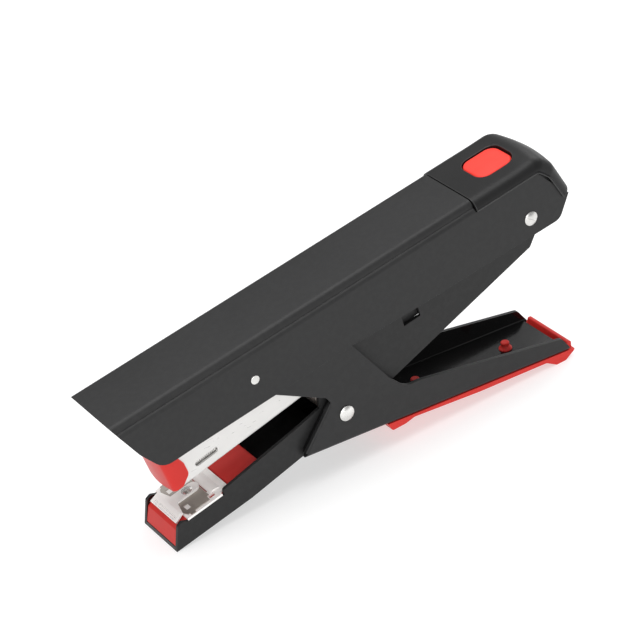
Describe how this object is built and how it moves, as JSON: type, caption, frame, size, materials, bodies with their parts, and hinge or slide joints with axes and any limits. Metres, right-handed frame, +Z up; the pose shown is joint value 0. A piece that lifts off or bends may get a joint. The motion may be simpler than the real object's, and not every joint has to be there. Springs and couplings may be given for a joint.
{
  "type": "plier stapler",
  "caption": "Hand-held plier stapler: black pressed-steel shell, lever and anvil arm, red trim, sprung magazine that slides out of the nose.",
  "frame": {"origin": "centre of the bounding box, on the surface that the stapler stands on", "axes": "+X from the nose to the rear pivot, +Y across the stapler, +Z up"},
  "size_m": [0.1732, 0.03, 0.0788],
  "materials": {
    "black_steel": "satin black powder coat on pressed steel",
    "black_plastic": "fine-grained black moulding",
    "red_plastic": "satin red moulding",
    "red_button": "bright red moulding",
    "nickel_steel": "nickel-plated pressed steel",
    "pin_steel": "zinc-plated turned steel",
    "spring_steel": "dull spring steel",
    "staple_wire": "galvanised wire"
  },
  "bodies": {
    "frame": {"frame_channel": "black_steel", "anvil_carrier": "red_plastic", "anvil_tray": "nickel_steel", "anvil_leaf": "spring_steel", "main_pivot_pin": "pin_steel", "rear_pivot_pin": "pin_steel", "pivot_washers": "pin_steel", "rear_spacers": "pin_steel", "return_spring": "spring_steel"},
    "anvil": {"anvil_selector": "nickel_steel", "anvil_rivet": "pin_steel"},
    "lever": {"lever_channel": "black_steel", "lever_pad": "red_plastic"},
    "shell": {"top_shell": "black_steel", "rear_cap": "black_plastic", "driver_bracket": "nickel_steel", "driver_blade": "pin_steel", "link_pin": "pin_steel", "button_spring": "spring_steel"},
    "button": {"release_button": "red_button"},
    "magazine": {"magazine_guide": "black_steel", "release_latch": "spring_steel", "latch_rivet": "pin_steel"},
    "drawer": {"magazine_channel": "nickel_steel", "nose_cover": "red_plastic", "staple_strip": "staple_wire", "spring_rod": "pin_steel", "pusher_spring": "spring_steel"},
    "pusher": {"pusher": "black_plastic"}
  },
  "joints": [
    {"name": "lever_squeeze", "type": "hinge", "parent": "frame", "child": "lever", "pos_m": [-0.00661, 0, 0.02153], "axis": [0, -1, 0], "range_deg": [0, 12.25], "stiffness_Nm_per_rad": 1, "springref_deg": -34.38, "deforming": ["return_spring"]},
    {"name": "shell_pivot", "type": "hinge", "parent": "frame", "child": "shell", "pos_m": [0.07062, 0, 0.05985], "axis": [0, -1, 0], "range_deg": [0, 6]},
    {"name": "magazine_pivot", "type": "hinge", "parent": "frame", "child": "magazine", "pos_m": [0.07062, 0, 0.05985], "axis": [0, -1, 0], "range_deg": [0, 2.7]},
    {"name": "magazine_drawer", "type": "slide", "parent": "magazine", "child": "drawer", "axis": [0.9732, 0, 0.23], "range_m": [-0.05, 0]},
    {"name": "pusher_slide", "type": "slide", "parent": "drawer", "child": "pusher", "axis": [0.9732, 0, 0.23], "range_m": [0, 0.06], "stiffness_N_per_m": 20, "springref_m": -0.03, "deforming": ["pusher_spring"]},
    {"name": "button_press", "type": "slide", "parent": "shell", "child": "button", "axis": [0.1444, 0, -0.9895], "range_m": [0, 0.0018], "stiffness_N_per_m": 250, "springref_m": -0.002, "deforming": ["button_spring", "release_latch"]},
    {"name": "anvil_select", "type": "slide", "parent": "frame", "child": "anvil", "axis": [-0.9792, 0, -0.2028], "range_m": [0, 0.0025]}
  ],
  "couplings": [
    {"joint": "shell_pivot", "follows": "lever_squeeze", "ratio": 0.4897},
    {"joint": "magazine_pivot", "follows": "lever_squeeze", "ratio": 0.2204}
  ]
}
